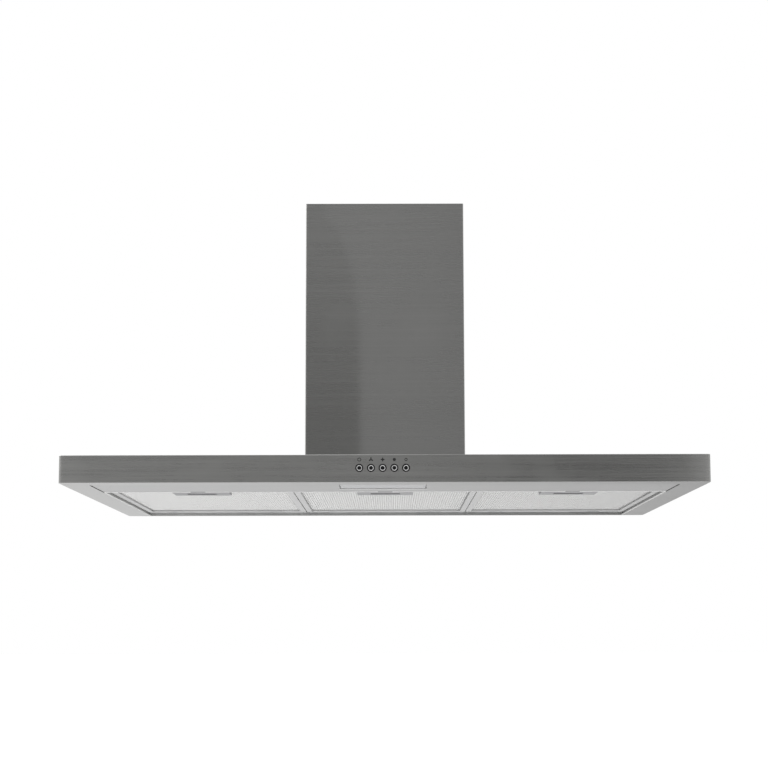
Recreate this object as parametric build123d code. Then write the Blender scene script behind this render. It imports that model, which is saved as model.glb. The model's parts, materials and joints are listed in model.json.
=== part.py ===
from build123d import *
import os
import math

os.makedirs("parts", exist_ok=True)

# Island range hood. Millimetres, +Z up, front of the hood towards -Y.
# Origin: centre of the canopy's footprint, in the plane of its lower rim.

# ---- driving dimensions ----
W, D, H = 900.0, 600.0, 38.5          # canopy
T = 1.0                               # canopy and chimney sheet
R_CORNER = 5.0                        # canopy vertical corner bend
RIM_SIDE, RIM_FRONT, RIM_REAR = 37.0, 36.0, 6.0   # folded lower rim widths
CH, CH_TOP = 239.0, 443.5             # outer chimney side, top height
CH_R = 2.0                            # chimney corner bend
UP, UP_Z0 = 235.4, 44.0               # inner chimney side, its lower edge
STRIP_Y = -148.0                      # rear face of the front light panel
LENS_X, LENS_W, LENS_Y0, LENS_Y1 = -2.8, 122.0, -258.4, -186.4
PITCH = 275.3                         # filter pitch
F_W = 273.8                           # filter width
F_Y0, F_Y1 = -146.6, 281.0            # filter front and rear
F_Z0, F_Z1 = 5.0, 15.0                # filter frame underside and top
HINGE_Y, HINGE_Z = 277.0, 9.5         # filter pivot
BTN_PITCH, BTN_X0, BTN_Z, BTN_N = 16.1, -2.8, 20.0, 5
SLIDE = 250.0                         # height adjustment
LATCH = 6.0                           # filter latch travel
WY, WZ = -34.0, 132.0                 # blower axis
WHEEL_R, WHEEL_L = 60.0, 110.0
SCROLL_X = 61.0                       # scroll half width inside
COLLAR_R, COLLAR_Z0, COLLAR_Z1 = 75.0, 247.0, 330.0
FLAP_Z, FLAP_Y = 262.0, 3.0


def box(x0, x1, y0, y1, z0, z1):
    return Pos((x0 + x1) / 2, (y0 + y1) / 2, (z0 + z1) / 2) * Box(x1 - x0, y1 - y0, z1 - z0)


def cyl(axis, a, b, r, s, e):
    """Cylinder along an axis from s to e; a and b are its centre's other two coordinates."""
    m, h = (s + e) / 2, e - s
    if axis == "x":
        return Pos(m, a, b) * Rot(0, 90, 0) * Cylinder(r, h)
    if axis == "y":
        return Pos(a, m, b) * Rot(90, 0, 0) * Cylinder(r, h)
    return Pos(a, b, m) * Cylinder(r, h)


def rbox(w, d, r, z0, z1):
    return Pos(0, 0, z0) * extrude(RectangleRounded(w, d, r), z1 - z0)


def put(name, *solids):
    items = []
    for s in solids:
        items += list(s.solids())
    c = Compound(children=items) if len(items) > 1 else items[0]
    c.label = name
    export_step(c, os.path.join("parts", name + ".step"))


def symmetric(fn):
    return [fn(sx, sy) for sx in (-1, 1) for sy in (-1, 1)]


# ---- ceiling mount: plate, upper uprights, inner chimney ----
PLATE = 116.2
PZ = CH_TOP - 2.5                     # underside of the ceiling plate
BOLT_C = 98.0
plate = box(-PLATE, PLATE, -PLATE, PLATE, PZ, CH_TOP) - rbox(172, 172, 12, PZ - 1, CH_TOP + 1)
for s in (-1, 1):
    a, b = sorted((s * PLATE, s * (PLATE - 1.5)))
    plate += box(a, b, -80, 80, PZ - 20, PZ)
    plate += box(-80, 80, a, b, PZ - 20, PZ)
for x in (-BOLT_C, BOLT_C):
    for y in (-BOLT_C, BOLT_C):
        plate -= cyl("z", x, y, 4.25, PZ - 1, CH_TOP + 1)
for s in (-1, 1):
    for y in (-30, 30):
        plate -= cyl("x", y, PZ - 10, 2.1, min(s * 113, s * 118), max(s * 113, s * 118))
put("ceiling_plate", plate)


def angle_bar(outer, leg, t, z0, z1, sx, sy):
    a = box(min(sx * outer, sx * (outer - t)), max(sx * outer, sx * (outer - t)),
            min(sy * outer, sy * (outer - leg)), max(sy * outer, sy * (outer - leg)), z0, z1)
    b = box(min(sx * outer, sx * (outer - leg)), max(sx * outer, sx * (outer - leg)),
            min(sy * outer, sy * (outer - t)), max(sy * outer, sy * (outer - t)), z0, z1)
    return a + b


UPR, LOW = 110.0, 107.7
BOLT_Y, BOLT_ZS = 96.0, (CH_TOP - 39, CH_TOP - 20)


def upper_upright(sx, sy):
    bar = angle_bar(UPR, 25, 2, 60, PZ, sx, sy)
    slot = box(min(sx * 106, sx * 112), max(sx * 106, sx * 112),
               sy * BOLT_Y - 3.3, sy * BOLT_Y + 3.3, CH_TOP - 294, CH_TOP - 14)
    return bar - slot


def lower_upright(sx, sy):
    bar = angle_bar(LOW, 22, 2, H + 2, CH_TOP - 9, sx, sy)
    for z in BOLT_ZS:
        bar -= cyl("x", sy * BOLT_Y, z, 3.15, min(sx * 104, sx * 109), max(sx * 104, sx * 109))
    return bar


put("upper_uprights", *symmetric(upper_upright))
put("lower_uprights", *symmetric(lower_upright))


def square_tube_half(w, z0, z1, sy, r):
    tube = rbox(w, w, r, z0, z1) - rbox(w - 2 * T, w - 2 * T, r - T, z0 - 1, z1 + 1)
    keep = box(-w, w, 0.05, w, z0 - 1, z1 + 1) if sy > 0 else box(-w, w, -w, -0.05, z0 - 1, z1 + 1)
    return tube & keep


screw_holes = [cyl("x", y, PZ - 10, 3.6, min(s * 116, s * 119), max(s * 116, s * 119))
               for s in (-1, 1) for y in (-30, 30)]
for name, sy in (("upper_chimney_front", -1), ("upper_chimney_rear", 1)):
    half = square_tube_half(UP, UP_Z0, CH_TOP - 0.5, sy, CH_R)
    for h in screw_holes:
        half -= h
    put(name, half)
put("upper_chimney_screws", *[
    cyl("x", y, PZ - 10, 3.4, min(s * 116.4, s * 117.6), max(s * 116.4, s * 117.6))
    + cyl("x", y, PZ - 10, 1.9, min(s * 110.5, s * 116.5), max(s * 110.5, s * 116.5))
    for s in (-1, 1) for y in (-30, 30)])
for name, sy in (("lower_chimney_front", -1), ("lower_chimney_rear", 1)):
    put(name, square_tube_half(CH, H, CH_TOP, sy, CH_R + 0.5))

# ---- canopy: one folded sheet ----
outer = rbox(W, D, R_CORNER, 0, H)
outer = fillet(outer.edges().filter_by(Plane.XY).group_by(Axis.Z)[0], 0.6)
outer = fillet(outer.edges().filter_by(Plane.XY).group_by(Axis.Z)[-1], 0.6)
shell = outer - rbox(W - 2 * T, D - 2 * T, R_CORNER - T, T, H - T)
open_x = W / 2 - RIM_SIDE
shell -= box(-open_x, open_x, -D / 2 + RIM_FRONT, D / 2 - RIM_REAR, -1, 5)
shell += box(open_x, open_x + 1, STRIP_Y + 1, D / 2 - RIM_REAR + 1, 0.5, 13)
shell += box(-open_x - 1, -open_x, STRIP_Y + 1, D / 2 - RIM_REAR + 1, 0.5, 13)
shell += box(-open_x, open_x, D / 2 - RIM_REAR, D / 2 - RIM_REAR + 1, 0.5, 13)
shell -= box(-100, 100, -100, 100, 30, 45)
CANOPY_BOLTS = [(s * 106, t) for s in (-1, 1) for t in (-45, 45)] + [(t, s * 106) for s in (-1, 1) for t in (-45, 45)]
for x, y in CANOPY_BOLTS:
    shell -= cyl("z", x, y, 2.7, 30, 45)
BTN_X = [BTN_X0 + BTN_PITCH * (i - (BTN_N - 1) / 2) for i in range(BTN_N)]
for x in BTN_X:
    shell -= cyl("y", x, BTN_Z, 5.0, -302, -298)
put("canopy_shell", shell)

# ---- support frame on the canopy ----
base = box(-112, 112, -112, 112, H, H + 2) - rbox(168, 168, 6, H - 1, H + 3)
for x, y in CANOPY_BOLTS:
    base -= cyl("z", x, y, 2.7, 30, 45)
put("base_frame", base)
put("canopy_bolts", *[cyl("z", x, y, 2.5, H - 4.5, H + 3) + cyl("z", x, y, 4.3, H + 2, H + 5)
                      + extrude(Pos(x, y, H - 4.5) * RegularPolygon(4.3, 6), 3.5) for x, y in CANOPY_BOLTS])
brace = box(-105.5, 105.5, -105.5, 105.5, 262, 264) - rbox(176, 176, 6, 261, 265)
put("upright_brace", brace)


def height_bolt(sx, sy, z):
    b = cyl("x", sy * BOLT_Y, z, 3.0, min(sx * 99, sx * 111), max(sx * 99, sx * 111))
    b += cyl("x", sy * BOLT_Y, z, 5.0, min(sx * 110.2, sx * 114), max(sx * 110.2, sx * 114))
    nut = Pos(sx * 105.7, sy * BOLT_Y, z) * Rot(0, -90 * sx, 0) * extrude(RegularPolygon(5.4, 6), 4.5)
    return b + nut


put("height_bolts", *[height_bolt(sx, sy, z) for sx in (-1, 1) for sy in (-1, 1) for z in BOLT_ZS])

# ---- front light panel, its screws, the lamp ----
panel = box(-421, 421, -270, STRIP_Y, 1.0, 2.0) + box(-411.5, 411.5, STRIP_Y - 1, STRIP_Y, 1.0, 36.5)
panel += box(-411.5, 411.5, STRIP_Y - 2.5, STRIP_Y, 0.3, 1.0)
panel -= box(LENS_X - LENS_W / 2 - 0.6, LENS_X + LENS_W / 2 + 0.6, LENS_Y0 - 0.6, LENS_Y1 + 1.0, 0, 3)
for s in (-1, 1):
    a, b = sorted((s * (LENS_W / 2), s * (LENS_W / 2 + 2.8)))
    panel -= box(LENS_X + a, LENS_X + b, LENS_Y1 - 27, LENS_Y1 + 1.0, 0, 3)
for k in (-1, 0, 1):
    panel -= box(k * PITCH - 10.5, k * PITCH + 10.5, STRIP_Y - 5, STRIP_Y + 1, 0, 10.1)
PANEL_SCREWS = [(x, -267.0) for x in (-380, -130, 130, 380)]
for x, y in PANEL_SCREWS:
    panel -= cyl("z", x, y, 1.6, 0, 3)
put("front_light_panel", panel)
put("panel_screws", *[cyl("z", x, y, 1.5, 1.05, 8) + cyl("z", x, y, 3.2, 2.05, 4.2) for x, y in PANEL_SCREWS])

LX = LENS_W / 2
LENS_HY, LENS_HZ = LENS_Y1 - 1.0, 3.0
lens = box(-LX, LX, LENS_Y0, LENS_Y1, 2.0, 4.0)
lens += cyl("x", LENS_HY, LENS_HZ, 0.8, -LX - 2.4, LX + 2.4)
put("lamp_lens", Pos(LENS_X, 0, 0) * lens)
lh = box(-67, 67, -263, -181, 2.05, 34) - box(-63, 63, -261.8, -182.2, 0, 32.8)
lh -= cyl("x", LENS_HY, LENS_HZ, 0.87, -70, 70)
put("lamp_housing", Pos(LENS_X, 0, 0) * lh)
put("lamp_socket", Pos(LENS_X, 0, 0) * box(46, 62.9, -240, -204, 8, 28))
tube = cyl("x", -229, 18, 6, -50, 40) + cyl("x", -215, 18, 6, -50, 40)
tube += box(-46, -40, -229, -215, 15, 21) + box(38, 45.9, -239, -205, 10, 26)
put("lamp_tube", Pos(LENS_X, 0, 0) * tube)

# ---- push buttons ----
put("button_bezels", *[
    cyl("y", x, BTN_Z, 5.3, -300.4, -300.0) + cyl("y", x, BTN_Z, 4.9, -300.2, -297.0)
    - cyl("y", x, BTN_Z, 4.5, -302, -296) for x in BTN_X])
for i, x in enumerate(BTN_X):
    b = cyl("y", x, BTN_Z, 4.15, -300.4, -292) + cyl("y", x, BTN_Z, 2.0, -292.5, -279.5)
    b -= cyl("y", x, BTN_Z, 1.6, -301, -299.8)
    put("button_%d" % (i + 1), b)
bracket = box(-54, 50, -298.2, -296.8, 8, 36.9) + box(-54, 50, -298.2, -272, 35.5, 36.9)
sw = box(-47, 41, -296.7, -275, 10, 29)
for x in BTN_X:
    bracket -= cyl("y", x, BTN_Z, 5.3, -300, -296)
    sw -= cyl("y", x, BTN_Z, 4.6, -298, -288.5) + cyl("y", x, BTN_Z, 2.35, -290, -270)
put("switch_bracket", bracket)
put("switch_housing", sw)

# ---- filter rear rail with hooks ----
rail = box(-411.5, 411.5, 284.5, 293.5, 5.0, 6.2) + box(-411.5, 411.5, 292.3, 293.5, 5.0, 28)
HOOK_X = [k * PITCH + s * 85 for k in (-1, 0, 1) for s in (-1, 1)]
for hx in HOOK_X:
    hook = cyl("x", HINGE_Y, HINGE_Z, 3.8, hx - 8, hx + 8) + box(hx - 8, hx + 8, HINGE_Y + 1, 292.6, 6.4, 12.0)
    hook += box(hx - 8, hx + 8, 288, 293, 5.5, 12.0)
    hook -= cyl("x", HINGE_Y, HINGE_Z, 2.06, hx - 9, hx + 9)
    hook -= Pos(hx, HINGE_Y, HINGE_Z) * Rot(35, 0, 0) * Pos(0, 0, 4) * Box(20, 4.12, 8)
    rail += hook
put("filter_rear_rail", rail)

# ---- three mesh filters, each with a latch ----
for k, side in ((-1, "left"), (0, "centre"), (1, "right")):
    cx = k * PITCH
    x0, x1 = cx - F_W / 2, cx + F_W / 2
    ring = box(x0, x1, F_Y0, F_Y1, F_Z0, F_Z1) - box(x0 + 9, x1 - 9, F_Y0 + 12, F_Y1 - 16, F_Z0 - 1, F_Z1 + 1)
    for s in (-1, 1):
        ring -= box(cx + s * 85 - 10, cx + s * 85 + 10, 271, 290, F_Z0 - 1, F_Z1 + 1)
        ring += cyl("x", HINGE_Y, HINGE_Z, 2.0, cx + s * 85 - 11, cx + s * 85 + 11)
    ring -= box(cx - 10, cx + 10, F_Y0 - 1, F_Y0 + 13, 7.0, 10.0)
    put("filter_frame_" + side, ring)
    pocket = box(cx - 42.25, cx + 42.25, F_Y0 + 12, -72, 0, 20)
    put("filter_mesh_" + side, box(x0 + 9, x1 - 9, F_Y0 + 12, F_Y1 - 16, 7.5, 9.5) - pocket)
    h = box(cx - 42.25, cx + 42.25, F_Y0 + 12, -72, 2.5, 12.5)
    h = chamfer(h.edges().filter_by(Axis.X).sort_by(Axis.Z)[:2], 1.5)
    h -= box(cx - 24, cx + 24, F_Y0 + 11, -74.5, 6.5, 11.0)
    h -= box(cx - 22, cx + 22, -104, -88, 0, 7.0)
    put("latch_housing_" + side, h)
    slide = box(cx - 22.5, cx + 22.5, -112, -86, 7.0, 10.0)
    slide += box(cx - 9, cx + 9, -152, -111, 7.4, 9.6)
    slide += box(cx - 21, cx + 21, -103.6, -100.6, 3.4, 7.5)
    put("latch_slide_" + side, slide)
    p = [(-16, -74.6), (0, -85.8), (16, -74.6), (15.2, -74.6), (0, -85.1), (-15.2, -74.6)]
    leaf = extrude(Pos(cx, 0, 7.6) * make_face(Polyline(*p, close=True)), 2.0)
    put("latch_spring_" + side, leaf)

# ---- blower: scroll, side plates, motor, wheel ----
R0, R1 = 64.0, 96.0
A0, A1 = math.radians(60), math.radians(360)


def spiral(extra):
    pts = []
    for i in range(31):
        a = A0 + (A1 - A0) * i / 30
        r = R0 + (R1 - R0) * i / 30 + extra
        pts.append((WY + r * math.cos(a), WZ + r * math.sin(a)))
    return pts


TOP = 200.0
pin, pout = spiral(0), spiral(1.0)
# profile drawn in (y, z) and extruded along x
prof_in = Spline(*pin)
prof_out = Spline(*pout)
wall = make_face([prof_in, Line(pin[-1], pout[-1]), prof_out, Line(pout[0], pin[0])])
yz = Plane(origin=(-SCROLL_X, 0, 0), x_dir=(0, 1, 0), z_dir=(1, 0, 0))
scroll = extrude(yz * wall, 2 * SCROLL_X, dir=(1, 0, 0))
scroll += box(-SCROLL_X, SCROLL_X, pin[-1][0], pout[-1][0], WZ - 0.5, TOP)
ty, tz = pin[0]
scroll += box(-SCROLL_X, SCROLL_X, ty - 1.0, ty + 0.0, tz - 0.4, TOP)
put("scroll_wall", scroll)


def side_plate(s):
    a, b = sorted((s * SCROLL_X, s * (SCROLL_X + 1.5)))
    p = box(a, b, -110, 100, H + 2, TOP)
    return p - cyl("x", WY, WZ, 50, a - 1, b + 1)


put("scroll_side_left", side_plate(-1))
put("scroll_side_right", side_plate(1))

motor = cyl("x", WY, WZ, 40, 6, 64) - cyl("x", WY, WZ, 4.06, 0, 70)
put("motor_body", motor)
arms = cyl("x", WY, WZ, 42, 64, 66) - cyl("x", WY, WZ, 30, 60, 70)
for a in (90, 210, 330):
    arm = Pos(0, WY, WZ) * Rot(a, 0, 0) * box(62.5, 66, 50.5, 60, -9, 9)
    link = Pos(0, WY, WZ) * Rot(a, 0, 0) * box(64, 66, 38, 60, -9, 9)
    arms += arm + link
put("motor_bracket", arms)
put("motor_shaft", cyl("x", WY, WZ, 4.0, -24, 62))
wheel = cyl("x", WY, WZ, WHEEL_R, -1, 1) + cyl("x", WY, WZ, 12, -16, -0.5)
for s in (-1, 1):
    a, b = sorted((s * WHEEL_L / 2, s * (WHEEL_L / 2 - 2)))
    wheel += cyl("x", WY, WZ, WHEEL_R, a, b) - cyl("x", WY, WZ, 48, a - 1, b + 1)
blade = box(-WHEEL_L / 2 + 1, WHEEL_L / 2 - 1, -0.5, 0.5, 48.5, 59.5)
wheel += [Pos(0, WY, WZ) * Rot(i * 12.0, 0, 0) * Pos(0, 0, 54) * Rot(20, 0, 0) * Pos(0, 0, -54) * blade
          for i in range(30)]
wheel -= cyl("x", WY, WZ, 4.05, -20, 5)
put("blower_wheel", wheel)
nut = Pos(-20.5, WY, WZ) * Rot(0, 90, 0) * extrude(RegularPolygon(7.5, 6), 4.2) - cyl("x", WY, WZ, 4.02, -25, -10)
put("wheel_nut", nut)
put("motor_capacitor", cyl("x", 62, 80, 14, -102, -62.5))

# ---- outlet: transition, collar, two non-return flaps ----
yc, yd = (ty + pin[-1][0]) / 2, pin[-1][0] - ty


def duct(grow, z0, z1):
    a = Pos(0, yc, z0) * Rectangle(2 * SCROLL_X + 3 + 2 * grow, yd + 2 + 2 * grow)
    b = Pos(0, 0, z1) * Circle(COLLAR_R - 1 + grow)
    return loft([a, b])


trans = duct(1.0, TOP, COLLAR_Z0) - duct(0.0, TOP, COLLAR_Z0)
put("outlet_transition", trans)
collar = cyl("z", 0, 0, COLLAR_R, COLLAR_Z0, COLLAR_Z1) - cyl("z", 0, 0, COLLAR_R - 1, COLLAR_Z0 - 1, COLLAR_Z1 + 1)
collar += cyl("z", 0, 0, COLLAR_R - 0.5, 259, 260.5) - cyl("z", 0, 0, COLLAR_R - 4, 258, 262)
for y in (-FLAP_Y, FLAP_Y):
    collar -= cyl("x", y, FLAP_Z, 1.57, -80, 80)
put("outlet_collar", collar)
for name, s in (("flap_rear", 1), ("flap_front", -1)):
    f = cyl("z", 0, 0, 72.5, FLAP_Z - 0.5, FLAP_Z + 0.5)
    f = f & (box(-80, 80, FLAP_Y - 1.0, 80, 200, 300) if s > 0 else box(-80, 80, -80, -FLAP_Y + 1.0, 200, 300))
    f += cyl("x", s * FLAP_Y, FLAP_Z, 1.5, -74.8, 74.8)
    put(name, f)

# ---- terminal box with cable gland ----
tb = box(78, 104, -34, 34, 210, 260.5) - box(79.5, 102.5, -32.5, 32.5, 211.5, 262)
tb -= cyl("y", 91, 236, 8.1, -36, -30)
put("terminal_box", tb)
put("terminal_box_lid", box(78, 104, -34, 34, 260.6, 261.9))
gland = cyl("y", 91, 236, 8.0, -38, -30.5) + cyl("y", 91, 236, 10.5, -44, -34.1)
gland += cyl("y", 91, 236, 8.8, -52, -44)
gland -= cyl("y", 91, 236, 3.6, -60, -20)
put("cable_gland", gland)
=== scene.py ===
import bpy, bmesh, json, math
from mathutils import Matrix, Vector


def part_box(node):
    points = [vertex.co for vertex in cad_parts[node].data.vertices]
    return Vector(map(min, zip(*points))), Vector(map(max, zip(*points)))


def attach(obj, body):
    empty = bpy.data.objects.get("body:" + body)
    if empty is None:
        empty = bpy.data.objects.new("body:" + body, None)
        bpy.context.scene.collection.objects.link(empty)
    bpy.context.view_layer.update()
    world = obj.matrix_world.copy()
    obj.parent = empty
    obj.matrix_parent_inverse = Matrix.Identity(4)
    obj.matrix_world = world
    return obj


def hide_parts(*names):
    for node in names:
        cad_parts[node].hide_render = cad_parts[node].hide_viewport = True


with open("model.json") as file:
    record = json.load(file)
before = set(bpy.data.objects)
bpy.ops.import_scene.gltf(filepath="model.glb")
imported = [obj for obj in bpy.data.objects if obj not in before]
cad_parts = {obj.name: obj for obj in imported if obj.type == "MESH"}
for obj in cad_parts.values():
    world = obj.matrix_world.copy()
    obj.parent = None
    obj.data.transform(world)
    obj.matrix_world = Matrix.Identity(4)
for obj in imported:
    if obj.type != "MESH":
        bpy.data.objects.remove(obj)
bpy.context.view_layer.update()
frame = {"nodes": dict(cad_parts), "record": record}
MM = 0.001
NODES = frame["nodes"]
RECORD = frame["record"]
SLOT_OF = {s["node"]: s["material_slot"] for s in RECORD["subparts"]}
BODY_OF = {n: b for b, ns in RECORD["behaviour"]["bodies"].items() for n in ns}
COL = bpy.context.scene.collection
bpy.context.scene.view_settings.view_transform = "Standard"


def nbox(node):
    lo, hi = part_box(node)
    return Vector(lo), Vector(hi)


# ------------------------------------------------------------------ materials
class Mat:
    """Small builder for a procedural Principled material."""

    def __init__(self, name, metallic=0.0, rough=0.5, **const):
        self.m = bpy.data.materials.new(name)
        self.m.use_nodes = True
        self.t = self.m.node_tree
        self.t.nodes.clear()
        self.out = self.t.nodes.new("ShaderNodeOutputMaterial")
        self.b = self.t.nodes.new("ShaderNodeBsdfPrincipled")
        self.t.links.new(self.b.outputs[0], self.out.inputs[0])
        self.b.inputs["Metallic"].default_value = metallic
        self.b.inputs["Roughness"].default_value = rough
        for k, v in const.items():
            self.b.inputs[k.replace("_", " ")].default_value = v
        self.tc = self.t.nodes.new("ShaderNodeTexCoord")

    def link(self, a, b):
        self.t.links.new(a, b)

    def mapped(self, scale, offset=(0, 0, 0), rot=(0, 0, 0)):
        n = self.t.nodes.new("ShaderNodeMapping")
        n.inputs["Scale"].default_value = scale
        n.inputs["Location"].default_value = offset
        n.inputs["Rotation"].default_value = rot
        self.link(self.tc.outputs["Object"], n.inputs["Vector"])
        return n.outputs[0]

    def noise(self, vec, scale=1.0, detail=3.0, rough=0.55, dist=0.0):
        n = self.t.nodes.new("ShaderNodeTexNoise")
        n.inputs["Scale"].default_value = scale
        n.inputs["Detail"].default_value = detail
        n.inputs["Roughness"].default_value = rough
        n.inputs["Distortion"].default_value = dist
        self.link(vec, n.inputs["Vector"])
        return n.outputs["Fac"]

    def voronoi(self, vec, scale=1.0, feature="F1", out="Distance"):
        n = self.t.nodes.new("ShaderNodeTexVoronoi")
        n.feature = feature
        n.inputs["Scale"].default_value = scale
        self.link(vec, n.inputs["Vector"])
        return n.outputs[out]

    def ramp(self, fac, stops, interp="LINEAR"):
        n = self.t.nodes.new("ShaderNodeValToRGB")
        cr = n.color_ramp
        cr.interpolation = interp
        while len(cr.elements) > 1:
            cr.elements.remove(cr.elements[-1])
        for i, (p, c) in enumerate(stops):
            e = cr.elements[0] if i == 0 else cr.elements.new(p)
            e.position = p
            e.color = (c, c, c, 1) if isinstance(c, (int, float)) else (*c, 1)
        self.link(fac, n.inputs[0])
        return n.outputs[0]

    def math(self, op, a, b=None, c=None, clamp=False):
        n = self.t.nodes.new("ShaderNodeMath")
        n.operation = op
        n.use_clamp = clamp
        for i, v in enumerate((a, b, c)):
            if v is None:
                continue
            if isinstance(v, (int, float)):
                n.inputs[i].default_value = v
            else:
                self.link(v, n.inputs[i])
        return n.outputs[0]

    def span(self, v, a0, a1, b0, b1):
        n = self.t.nodes.new("ShaderNodeMapRange")
        for i, x in enumerate((a0, a1, b0, b1)):
            n.inputs[i + 1].default_value = x
        self.link(v, n.inputs[0])
        return n.outputs[0]

    def mix(self, fac, a, b, mode="MIX"):
        n = self.t.nodes.new("ShaderNodeMix")
        n.data_type = "RGBA"
        n.blend_type = mode
        for i, v in ((0, fac), (6, a), (7, b)):
            if isinstance(v, (int, float)):
                n.inputs[i].default_value = v
            elif isinstance(v, tuple):
                n.inputs[i].default_value = (*v, 1)
            else:
                self.link(v, n.inputs[i])
        return n.outputs[2]

    def bump(self, height, strength=0.2, dist=0.0002, after=None):
        n = self.t.nodes.new("ShaderNodeBump")
        n.inputs["Strength"].default_value = strength
        n.inputs["Distance"].default_value = dist
        self.link(height, n.inputs["Height"])
        if after is not None:
            self.link(after, n.inputs["Normal"])
        return n.outputs[0]

    def edge(self, lo=0.52, hi=0.62):
        g = self.t.nodes.new("ShaderNodeNewGeometry")
        return self.ramp(g.outputs["Pointiness"], [(lo, 0.0), (hi, 1.0)])

    def xyz(self):
        n = self.t.nodes.new("ShaderNodeSeparateXYZ")
        self.link(self.tc.outputs["Object"], n.inputs[0])
        return n.outputs

    def tangent(self, v):
        n = self.t.nodes.new("ShaderNodeCombineXYZ")
        for i in range(3):
            n.inputs[i].default_value = v[i]
        self.link(n.outputs[0], self.b.inputs["Tangent"])

    def set(self, colour=None, rough=None, normal=None):
        if colour is not None:
            self.link(colour, self.b.inputs["Base Color"])
        if rough is not None:
            self.link(rough, self.b.inputs["Roughness"])
        if normal is not None:
            self.link(normal, self.b.inputs["Normal"])
        return self.m


def brushed(name, base, rough=0.3, aniso=0.7, tangent=(0, 0, 1), grain="xy", streak=0.06, tint=None,
            coat=0.0, coat_rough=0.03, coat_ior=1.5, painted_light_falloff=None):
    """Brushed stainless sheet. grain 'xy': lines level on upright faces; 'x': lines along X on level faces."""
    m = Mat(name, metallic=1.0, rough=rough, Anisotropic=aniso)
    if tint is not None:
        m.b.inputs["Specular Tint"].default_value = (tint, tint, tint, 1)
    if coat:
        m.b.inputs["Coat Weight"].default_value = coat
        m.b.inputs["Coat Roughness"].default_value = coat_rough
        m.b.inputs["Coat IOR"].default_value = coat_ior
    m.tangent(tangent)
    s = (1, 1, 1)
    fine = (9, 9, 2600) if grain == "xy" else (9, 2600, 9)
    broad = (5, 5, 420) if grain == "xy" else (5, 420, 5)
    wide = (2.5, 2.5, 90) if grain == "xy" else (2.5, 90, 2.5)
    g1 = m.noise(m.mapped(fine), detail=2.0)
    g2 = m.noise(m.mapped(broad, (3, 5, 7)), detail=4.0, rough=0.65)
    g3 = m.noise(m.mapped(wide, (1, 9, 4)), detail=3.0)
    cloud = m.noise(m.mapped((6, 6, 6), (2, 2, 8)), detail=4.0, rough=0.6)
    grain_sum = m.math("ADD", m.math("MULTIPLY", g1, 0.35),
                       m.math("ADD", m.math("MULTIPLY", g2, 0.45), m.math("MULTIPLY", g3, 0.2)))
    tone = m.span(grain_sum, 0.35, 0.65, 1.0 - streak, 1.0 + streak)
    tone = m.math("MULTIPLY", tone, m.span(cloud, 0.3, 0.7, 0.975, 1.025))
    # painted light: painted_light_falloff scales the colour along one object axis, lighter at one end and darker at the
    # other, in place of light falling more on one side
    if painted_light_falloff is not None:
        axis, a0, a1, b0, b1 = painted_light_falloff
        tone = m.math("MULTIPLY", tone, m.span(m.xyz()[axis], a0, a1, b0, b1))
    col = m.mix(1.0, m.mix(0.0, base, base), tone, "MULTIPLY")
    worn = m.edge(0.53, 0.66)
    col = m.mix(m.math("MULTIPLY", worn, 0.35), col, tuple(min(1.0, c * 1.35) for c in base))
    smudge = m.noise(m.mapped((11, 11, 11), (5, 1, 3)), detail=3.0)
    r = m.math("ADD", m.span(grain_sum, 0.3, 0.7, rough - 0.05, rough + 0.05),
               m.span(smudge, 0.5, 0.75, 0.0, 0.05))
    return m.set(col, r, m.bump(grain_sum, 0.10, 0.00005))


def galvanised():
    m = Mat("galvanised_sheet", metallic=1.0, rough=0.38)
    v = m.mapped((1, 1, 1))
    cell = m.voronoi(v, 95, "F1", "Color")
    sep = m.t.nodes.new("ShaderNodeSeparateColor")
    m.link(cell, sep.inputs[0])
    sp = m.math("ADD", m.math("MULTIPLY", sep.outputs[0], 0.6), m.math("MULTIPLY", m.noise(v, 260, 3), 0.4))
    col = m.ramp(sp, [(0.15, (0.42, 0.43, 0.44)), (0.5, (0.52, 0.53, 0.53)), (0.85, (0.61, 0.62, 0.62))])
    r = m.span(sp, 0.2, 0.8, 0.30, 0.50)
    return m.set(m.mix(m.math("MULTIPLY", m.edge(), 0.4), col, (0.68, 0.69, 0.69)), r, m.bump(sp, 0.12, 0.0001))


def painted(name, base, rough=0.45, grain=900, strength=0.12, metallic=0.0, var=0.06, wear=None, painted_light_fall=None, **const):
    m = Mat(name, metallic=metallic, rough=rough, **const)
    v = m.mapped((1, 1, 1))
    n1 = m.noise(v, grain, 3)
    n2 = m.noise(m.mapped((1, 1, 1), (4, 1, 2)), 28, 4)
    tone = m.math("MULTIPLY", m.span(n1, 0.3, 0.7, 1 - var / 2, 1 + var / 2), m.span(n2, 0.3, 0.7, 1 - var / 2, 1 + var / 2))
    col = m.mix(1.0, m.mix(0.0, base, base), tone, "MULTIPLY")
    # painted light: painted_light_fall makes the colour lighter at -X and darker at +X, in place of light falling from
    # the left
    if painted_light_fall is not None:
        col = m.mix(1.0, col, m.span(m.xyz()[0], -0.45, 0.45, painted_light_fall[0], painted_light_fall[1]), "MULTIPLY")
    if wear is not None:
        col = m.mix(m.math("MULTIPLY", m.edge(), 0.5), col, wear)
    r = m.math("ADD", m.span(n2, 0.3, 0.7, rough - 0.04, rough + 0.06), m.span(n1, 0.3, 0.7, -0.02, 0.02))
    return m.set(col, r, m.bump(n1, strength, 0.00008))


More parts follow.
